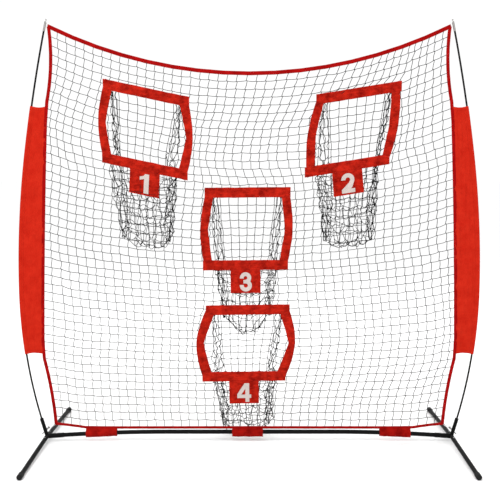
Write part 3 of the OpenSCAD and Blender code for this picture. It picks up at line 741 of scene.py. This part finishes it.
class Bag:
    """The shape that a pocket's netting bag hangs in, level by level below its mouth's head."""

    def __init__(self, pocket):
        self.pocket = pocket
        self.top = resample(pocket.inner["top"], 2)
        self.sill = resample(pocket.inner["bottom"], 2)
        index = pocket.number - 1
        self.shift, self.sag = WALL_SHIFT[index], FOOT_SAG[index]
        self.bulge, self.bulge_shift = BULGE_TOP[index], BULGE_SHIFT[index]
        self.back = pocket.bag_y - 0.008
        self.foot_z = pocket.bag_z + self.sag + 0.028
        self.deep_rows = max(5, round((self.sill[:, 1].mean() - self.foot_z) / 0.041))
        self.levels = MOUTH_ROWS + self.deep_rows
        self.rows = MOUTH_ROWS + 2 * self.deep_rows + FOOT_ROWS
        self.turn = np.linspace(-1, 1, STRIP_CELLS + 1)

    def back_row(self, level):
        """Knots of the back wall: it hangs from the mouth's head, slants back and narrows."""
        turn, keep = self.turn, 1 - CORNER_SHARE * 2
        top_half = (self.top[1] - self.top[0])[0] / 2 * keep
        fall = min(1, level / MOUTH_ROWS)
        low = max(0, (level - MOUTH_ROWS) / self.deep_rows)
        half = top_half + (WALL_HALF - top_half) * smooth_step(fall) + (FOOT_HALF - WALL_HALF) * low ** 0.4
        wall_x = self.top[:, 0].mean() + self.shift
        middle = self.top[:, 0].mean() + self.shift * smooth_step(fall) + (self.pocket.bag_x - wall_x) * low
        x = middle + turn * half
        z = self.top[:, 1].mean() + (self.sill[:, 1].mean() - self.top[:, 1].mean()) * fall
        z = z + (self.foot_z - self.sill[:, 1].mean()) * low
        z = z + self.pocket.slope * (1 - 0.7 * low) * turn * half - self.sag * low ** 2 * (1 - turn ** 2)
        return np.stack([x, np.full(len(turn), 0.003 + (self.back - 0.003) * fall ** 0.9), z], axis=1)

    def front_row(self, level):
        """Knots of the front wall, from the sill down to the foot."""
        turn, low = self.turn, (level - MOUTH_ROWS) / self.deep_rows
        sill_half = (self.sill[1] - self.sill[0])[0] / 2 * (1 - CORNER_SHARE * 2)
        half = sill_half + (FOOT_HALF - sill_half) * smooth_step(low * 1.6)
        middle = self.sill[:, 0].mean() * (1 - low) + self.pocket.bag_x * low
        x = middle + turn * half
        fall = low ** 1.14
        z = self.sill[:, 1].mean() * (1 - fall) + self.foot_z * fall
        z = z + self.pocket.slope * (1 - 0.7 * low) * turn * half
        z = z - self.sag * low ** 2 * (1 - turn ** 2)
        return np.stack([x, np.full(len(turn), 0.004 + 0.06 * low), z], axis=1)

    def foot_row(self, share):
        """Knots of the foot, from the back wall forward."""
        back, front = self.back_row(self.levels), self.front_row(self.levels)
        row = back * (1 - share) + front * share
        row[:, 2] -= 0.026 * math.sin(math.pi * share)
        return row

    def strip(self):
        down = [self.back_row(k) for k in range(self.levels)]
        under = [self.foot_row(k / FOOT_ROWS) for k in range(FOOT_ROWS + 1)]
        up = [self.front_row(k) for k in range(self.levels - 1, MOUTH_ROWS - 1, -1)]
        return np.array(down + under + up)

    def outline(self, level, sign):
        """How far out to one side the bag reaches."""
        low = (level - MOUTH_ROWS) / self.deep_rows
        half = self.bulge * (1 - low) + BULGE_FOOT * low
        middle = self.sill[:, 0].mean() * (1 - low) + self.pocket.bag_x * low
        return middle + self.bulge_shift * (1 - low / 2) + sign * half


def gusset(bag, strip, sign, edge, rng):
    """The gathered netting of one side, from the back wall's edge round to the mouth's rim and front wall."""
    side = bag.pocket.inner["left" if sign < 0 else "right"]
    rim = resample(side, MOUTH_ROWS + 1)
    count = np.arange(GATHERS + 1)
    pair = np.where(count % 2, 1, -1) * (count > 0) * (count < GATHERS)
    share = ((count + 0.34 * pair) / GATHERS)[:, None]
    sheet = np.zeros((bag.levels + 1, GATHERS + 1, 3))
    for level in range(bag.levels + 1):
        behind = strip[level, edge]
        if level <= MOUTH_ROWS:
            ahead = np.array([rim[level][0], 0.003, rim[level][1]])
            fall = level / MOUTH_ROWS
            straight = rim[0] * (1 - fall) + rim[-1] * fall
            hung = np.array([straight[0] - sign * 0.012 * fall, 0.003, straight[1]])
            sheet[level] = behind + (hung - behind) * np.minimum(1, share * (1.9 - 0.9 * fall))
            sheet[level, -1] = ahead
        else:
            ahead = strip[bag.rows - (level - MOUTH_ROWS), edge]
            sheet[level] = behind + (ahead - behind) * share
            reach = bag.outline(level, sign) - (behind + ahead)[0] / 2
            sheet[level, :, 0] += reach * np.clip(1.08 - np.abs(2 * share[:, 0] - 1) * 1.08, 0, 1)
    grown = smooth_step(np.arange(bag.levels + 1) / MOUTH_ROWS)[:, None]
    odd = np.add.outer(np.arange(bag.levels + 1), (count + 1) // 2) % 2 * 2 - 1
    inner = np.sin(np.linspace(0, math.pi, GATHERS + 1))[None] ** 0.5
    sheet[..., 0] += odd * 0.0048 * grown * inner
    sheet[..., 1] += pair[None] * 0.010 * grown * inner
    shake = rng.normal(0, 1, sheet.shape) * [0.0034, 0.006, 0.006]
    sheet[1:-1, 1:-1] += (shake * (0.25 + 0.75 * grown[..., None]))[1:-1, 1:-1]
    tie = sheet[-1, 1:-1].mean(axis=0)
    sheet[-1, 1:-1] = tie + (sheet[-1, 1:-1] - tie) * [0.6, 0.45, 0.45]
    return sheet


def bag_net(pocket, seed):
    """A pocket's netting bag: a strip down the back, under the foot and up the front, and two gussets."""
    rng = np.random.default_rng(seed)
    bag = Bag(pocket)
    strip = bag.strip()
    steps = np.arange(bag.rows + 1)
    loose = smooth_step((steps - MOUTH_ROWS * 0.8) / (bag.deep_rows * 0.8))
    loose = (loose * smooth_step((bag.rows - steps) / 2.5))[:, None, None]
    strip += rng.normal(0, 1, strip.shape) * [0.006, 0.006, 0.006] * loose
    strip[1:-1] += rng.normal(0, 0.0013, strip[1:-1].shape)
    free = loose[:, 0, 0]
    lines = []
    for c in range(STRIP_CELLS + 1):
        gap = gaps(strip[:, c])
        reach = np.maximum(gap * 1.004, CELL * (free[1:] + free[:-1]) / 2)[:, None]
        lines.append(slack_line(strip[:, c], reach, 0 * DOWN, rng, 1.0, most=0.012))
    for r in range(1, bag.rows):
        gap = gaps(strip[r])[:, None]
        reach = gap * (1.006 + 0.02 * min(1, r / MOUTH_ROWS)) * (1 - free[r]) + CELL * free[r]
        lines.append(slack_line(strip[r], np.maximum(reach, gap), DOWN, rng, 0.4 + 0.4 * free[r], most=0.018))
    found = [strip[1:-1].reshape(-1, 3)]
    for sign, edge in ((-1, 0), (1, -1)):
        sheet = gusset(bag, strip, sign, edge, rng)
        for g in range(1, GATHERS + 1):
            stop = bag.levels + 1 if g < GATHERS else MOUTH_ROWS + 1
            lines.append(slack_line(sheet[:stop, g], CELL * 0.985, 0 * DOWN, rng, 1.0, most=0.009))
        for level in range(1, bag.levels + 1):
            gap = gaps(sheet[level])[:, None]
            reach = gap * 1.02 if level <= MOUTH_ROWS else np.maximum(gap, CELL * 0.6)
            lines.append(slack_line(sheet[level], reach, DOWN, rng, 0.22, most=0.012))
        found.append(sheet[2:, 1:-1].reshape(-1, 3))
    lines = [np.clip(line, [-9, 0.0035, 0.012], [9, pocket.bag_y + 0.004, 9]) for line in lines]
    made = tubes(f"bag_net_{pocket.number}", lines, TWINE_R, twine, sides=5)
    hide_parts(f"pocket_bag_{pocket.number}")
    centres = np.concatenate(found)
    ways = unit(rng.normal(0, 1, centres.shape))
    beads(f"bag_knots_{pocket.number}", centres, ways, 0.003, 0.0019, twine, sides=5)


for pocket in pockets:
    bag_net(pocket, 300 + pocket.number)


# ---- tabs and numerals

TAB_TUCK = 0.007


def number_tab(number):
    """A hemmed cloth tab, tucked behind the frame's band, and its numeral."""
    top, bottom = four_edges(front_rings(f"tab_{number}")[0])[:2]
    low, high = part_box(f"tab_{number}")
    rows, columns = 48, 52
    tall = np.linalg.norm(bottom[0] - top[0])
    v = np.r_[-TAB_TUCK / tall, np.linspace(-TAB_TUCK / tall * 0.5, 1, rows - 1)][:, None, None]
    u = np.linspace(0, 1, columns)[None, :, None]
    upper = top[0] * (1 - u) + top[-1] * u
    lower = bottom[0] * (1 - u) + bottom[-1] * u
    flat = upper * (1 - v) + lower * v
    wide = np.linalg.norm(top[-1] - top[0])
    across, along = u[..., 0] * wide, v[..., 0] * tall
    middle = np.clip(6 * np.minimum(np.minimum(u, 1 - u), np.minimum(v, 1 - v))[..., 0], 0, 1)
    wave = ripple(across, along, 60 + number, 0.05) * 0.0005 * (1 - 0.8 * middle)
    centre_y = (low.y + high.y) / 2
    tuck = 0.0009 * smooth_step(-v[..., 0] * tall / TAB_TUCK * 1.5)
    grid = np.stack([flat[..., 0], centre_y + wave + 0.0006 * middle + tuck, flat[..., 1]], axis=2)
    made = cloth(f"number_tab_{number}", grid, 0.0013, red_band, body=None)
    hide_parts(f"tab_{number}")
    edge = Vector((top[-1][0] - top[0][0], 0, top[-1][1] - top[0][1])).normalized()
    down = edge.cross(Vector((0, -1, 0)))
    down = down if down.z < 0 else -down
    body = f"tab_{number}"
    corners = [grid[8, 2], grid[-3, 2], grid[-3, -3], grid[8, -3]]
    lines = [resample(np.array([a, b]) - [0, 0.0007, 0], 40) for a, b in zip(corners, corners[1:])]
    sewn = stitches(f"number_tab_{number}_stitches", lines, FRONT, red_thread, body)
    slant = ((bottom[0] - top[0]) / tall)[0] - down.x
    digit = numeral(number, slant)
    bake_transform(made)


def numeral(number, slant):
    """A printed numeral with rounded edges, cut along its CAD outline and slanted with its tab."""
    curve = bpy.data.curves.new(f"numeral_shape_{number}", "CURVE")
    curve.dimensions = "2D"
    curve.fill_mode = "BOTH"
    curve.extrude = 0.00035
    curve.bevel_depth = 0.0003
    curve.bevel_resolution = 2
    for ring in front_rings(f"numeral_{number}"):
        spline = curve.splines.new("POLY")
        spline.points.add(len(ring) - 1)
        for point, (x, z) in zip(spline.points, ring):
            point.co = (x, z, 0, 1)
        spline.use_cyclic_u = True
    shape = bpy.data.objects.new(f"numeral_shape_{number}", curve)
    mesh = shape.to_mesh()
    low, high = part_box(f"numeral_{number}")
    points = np.array([[v.co.x, low.y + 0.0002 - v.co.z, v.co.y] for v in mesh.vertices])
    points[:, 0] += ((low.z + high.z) / 2 - points[:, 2]) * slant
    faces = [list(p.vertices) for p in mesh.polygons]
    made = piece(f"printed_numeral_{number}", points, faces, pale_print,
                 points[:, [0, 2, 1]] * [1, 1, 0] + [0, 0, 1], f"tab_{number}")
    bpy.data.objects.remove(shape)
    for polygon in made.data.polygons:
        polygon.use_smooth = False
    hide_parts(f"numeral_{number}")
    return made


for number in (1, 2, 3, 4):
    number_tab(number)


# ---- sleeves and base loops

def sleeve(side, seed, steps=220):
    """A cloth sleeve: sewn under the side tape, closed by a seam beside the pole and wrapped round it."""
    sign = -1 if side == "left" else 1
    inner, outer = sorted(long_edges(f"sleeve_{side}", 1), key=lambda e: abs(e[:, 0].mean()))
    pole = (resample(inner, steps) + resample(outer, steps)) / 2
    tape = centre_left if side == "left" else centre_right
    seam_x = np.interp(pole[:, 1], tape[:, 1], tape[:, 0])
    reach = np.abs(pole[:, 0] - seam_x)
    tunnel = 0.017
    lay = np.r_[np.linspace(0, 1, 26)[:-1], np.ones(1)]
    angle = np.linspace(-90, 90, 15)[1:-1] * DEG
    rows = []
    for k in range(steps):
        flat_u = lay * (reach[k] - tunnel)
        flat_y = -(0.0008 + 0.0006 * np.sin(lay * math.pi))
        bend = np.linspace(0, 1, 7)[1:]
        bend_u = reach[k] - tunnel + tunnel * bend
        bend_y = -(0.0008 + (SLEEVE_R - 0.0008) * smooth_step(bend))
        arc_u = reach[k] + SLEEVE_R * np.cos(angle)
        arc_y = SLEEVE_R * np.sin(angle)
        u = np.r_[flat_u, bend_u, arc_u, bend_u[::-1], flat_u[::-1]]
        y = np.r_[flat_y, bend_y, arc_y, -bend_y[::-1], -flat_y[::-1]]
        rows.append(np.stack([seam_x[k] + sign * u, y, np.full(len(u), pole[k, 1])], axis=1))
    grid = np.array(rows)
    along = np.linspace(0, length_of(pole), steps)[:, None]
    u = np.abs(grid[..., 0] - seam_x[:, None])
    quiet = np.clip((reach[:, None] - tunnel - u) / 0.02, 0, 1) * np.clip(u / 0.02, 0, 1)
    folds = ripple(u, along, seed, 0.03, 9.0) * 0.0016 + ripple(u, along, seed + 1, 0.09, 1.0) * 0.0022
    grid[..., 1] += folds * quiet
    ends = np.minimum(along, along[-1] - along)
    droop = np.clip(1 - ends / 0.05, 0, 1) * np.sin(np.clip(u / reach[:, None], 0, 1) * math.pi) * 0.006
    grid[..., 2] -= np.where(along < along[-1] / 2, -droop, droop)
    made = cloth(f"sleeve_cloth_{side}", grid, CLOTH_T, red_sleeve)
    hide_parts(f"sleeve_{side}")
    seam = grid[:, [25, -26]]
    lines = [seam[2:-2, 0] - [0, CLOTH_T / 2, 0]]
    lines += [grid[k, :32] - [0, CLOTH_T / 2, 0] for k in (3, -4)]
    sewn = stitches(f"sleeve_{side}_stitches", lines, FRONT, red_thread)
    return made


sleeve("left", 31)
sleeve("right", 41)


def base_loop(name, low_x, high_x, points, seed, first):
    """A cloth loop that hangs from the bottom tape round the crossbar."""
    here = points[(points[:, 0] > low_x - 1e-4) & (points[:, 0] < high_x + 1e-4)]
    ends = [here[here[:, 0] < low_x + 0.004], here[here[:, 0] > high_x - 0.004]]
    tilt = [end[np.argmax(end[:, 1]), 2] for end in ends]
    low_z = (ends[0][:, 2].min() + ends[1][:, 2].min()) / 2
    high_z = here[:, 2].max()
    wide_y = here[:, 1].max()
    bar_z = sum(tilt) / 2
    half = CLOTH_T / 2
    section = [[-0.0009, high_z + 0.006], [-0.003, high_z], [-wide_y * 0.75, bar_z + 0.011], [-wide_y, bar_z]]
    section += [[-wide_y * 0.86, (bar_z + low_z) / 2], [-wide_y * 0.55, low_z + 0.002 + half]]
    section += [[0, low_z + half]]
    section = np.array(section + [[-y, z] for y, z in section[-2::-1]])
    for _ in range(3):
        a, b = section[:-1], section[1:]
        cut = np.stack([a * 0.75 + b * 0.25, a * 0.25 + b * 0.75], axis=1).reshape(-1, 2)
        section = np.concatenate([section[:1], cut, section[-1:]])
    section = resample(section, 56)
    x = np.linspace(low_x, high_x, 44)
    grid = np.stack(np.broadcast_arrays(x[None, :], section[:, :1], section[:, 1:]), axis=2).copy()
    slope = (tilt[1] - tilt[0]) / (high_x - low_x)
    grid[..., 2] += slope * (x[None] - x.mean()) * np.clip((high_z - section[:, 1:]) / (high_z - bar_z), 0, 1)
    across = x[None] - low_x
    along = np.linspace(0, length_of(section), 56)[:, None]
    loose = np.sin(np.linspace(0, math.pi, 56))[:, None]
    grid[..., 1] += ripple(across, along, seed, 0.05) * 0.0006 * loose
    grid[..., 2] += np.abs(ripple(across, 0 * along, seed + 1, 0.08)) * 0.0012 * loose
    made = cloth(name, grid, CLOTH_T, red_loop)
    if first:
        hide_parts("base_loops")
    edge = [grid[6:24, k] - [0, CLOTH_T / 2, 0] for k in (2, -3)]
    sewn = stitches(f"{name}_stitches", edge, FRONT, red_thread)


loop_points = np.array([v.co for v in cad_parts["base_loops"].data.vertices])
loop_x = np.unique(np.round(loop_points[:, 0], 5))
breaks = np.flatnonzero(np.diff(loop_x) > 0.3)
starts = np.r_[loop_x[0], loop_x[breaks + 1]]
stops = np.r_[loop_x[breaks], loop_x[-1]]
for k, (name, low_x, high_x) in enumerate(zip(("left", "middle", "right"), starts, stops)):
    base_loop(f"base_loop_{name}", low_x, high_x, loop_points, 80 + 3 * k, k == 0)


# ---- elastics

def elastic_loop(name, anchor, post, lift, node=None):
    """A doubled elastic cord from a corner of the net round a post and back."""
    anchor, post = np.array(anchor), np.array(post)
    way = unit(post - anchor)
    side = unit(np.cross(way, lift))
    radius = 0.0044
    angle = np.linspace(-100, 100, 17)[:, None] * DEG
    turn = post + radius * (np.cos(angle) * way + np.sin(angle) * side)
    spread = 0.0016
    line = np.concatenate([[anchor - side * spread], turn, [anchor + side * spread]])
    made = tubes(name, [resample(line, 60)], ELASTIC_R, white_elastic, sides=8)
    if node:
        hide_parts(node)
    return made


for sign, side in ((-1, "left"), (1, "right")):
    low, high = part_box(f"tip_cap_{side}")
    tip_x = low.x + KNOB_R if sign > 0 else high.x - KNOB_R
    neck = np.array([tip_x + sign * math.sin(TIP_LEAN) * 0.0055, 0, high.z - KNOB_R - 0.0045])
    corner = [sign * (abs(centre_top[-1][0]) - 0.003), 0, centre_top[-1][1] + 0.004]
    up = np.array([-sign * math.sin(TIP_LEAN), 0, math.cos(TIP_LEAN)])
    elastic_loop(f"elastic_top_{side}", corner, neck, up, "elastics_top" if sign < 0 else None)
    low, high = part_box(f"hook_peg_{side}")
    ball = np.array([(low.x if sign > 0 else high.x) + sign * BALL_R, high.y - BALL_R, high.z - BALL_R])
    peg = unit(np.array([sign * -0.35, 0.88, 0.3]))
    corner = [sign * (abs(centre_bottom[-1][0]) - 0.002), 0.001, centre_bottom[-1][1] - 0.001]
    replaced = "elastics_bottom" if sign < 0 else None
    elastic_loop(f"elastic_bottom_{side}", corner, ball - peg * 0.0115, peg, replaced)


# ---- stage, lights and camera

def stage():
    """A pale floor, an even white surround and soft lamps."""
    s = Shader("pale_floor", Roughness=0.9, Specular_IOR_Level=0.1)
    floor_material = s.finish(s.blend(s.noise(3.0), (0.96, 0.96, 0.96), (0.98, 0.98, 0.98)))
    size = 60.0
    corners = [[-size, -size, 0], [size, -size, 0], [size, size, 0], [-size, size, 0]]
    floor = piece("floor", corners, [[0, 1, 2, 3]], floor_material, body=None)
    world = bpy.data.worlds.new("white_surround")
    bpy.context.scene.world = world
    world.use_nodes = True
    world.node_tree.nodes["Background"].inputs["Color"].default_value = (1, 1, 1, 1)
    world.node_tree.nodes["Background"].inputs["Strength"].default_value = SURROUND
    for name, place, power, width in LAMPS:
        lamp = bpy.data.lights.new(name, "AREA")
        lamp.energy = power
        lamp.size = width
        made = bpy.data.objects.new(name, lamp)
        made.location = place
        made.rotation_euler = (Vector((0, 0, 1.0)) - Vector(place)).to_track_quat("-Z", "Y").to_euler()
        bpy.context.scene.collection.objects.link(made)


def camera():
    data = bpy.data.cameras.new("camera")
    data.sensor_width = 36
    data.lens = CAMERA_LENS
    data.shift_x = CAMERA_SHIFT
    data.clip_end = 200
    made = bpy.data.objects.new("camera", data)
    made.location = CAMERA_AT
    made.rotation_euler = (CAMERA_TILT, 0, 0)
    bpy.context.scene.collection.objects.link(made)
    bpy.context.scene.camera = made


stage()
camera()
bpy.context.scene.view_settings.view_transform = "Standard"
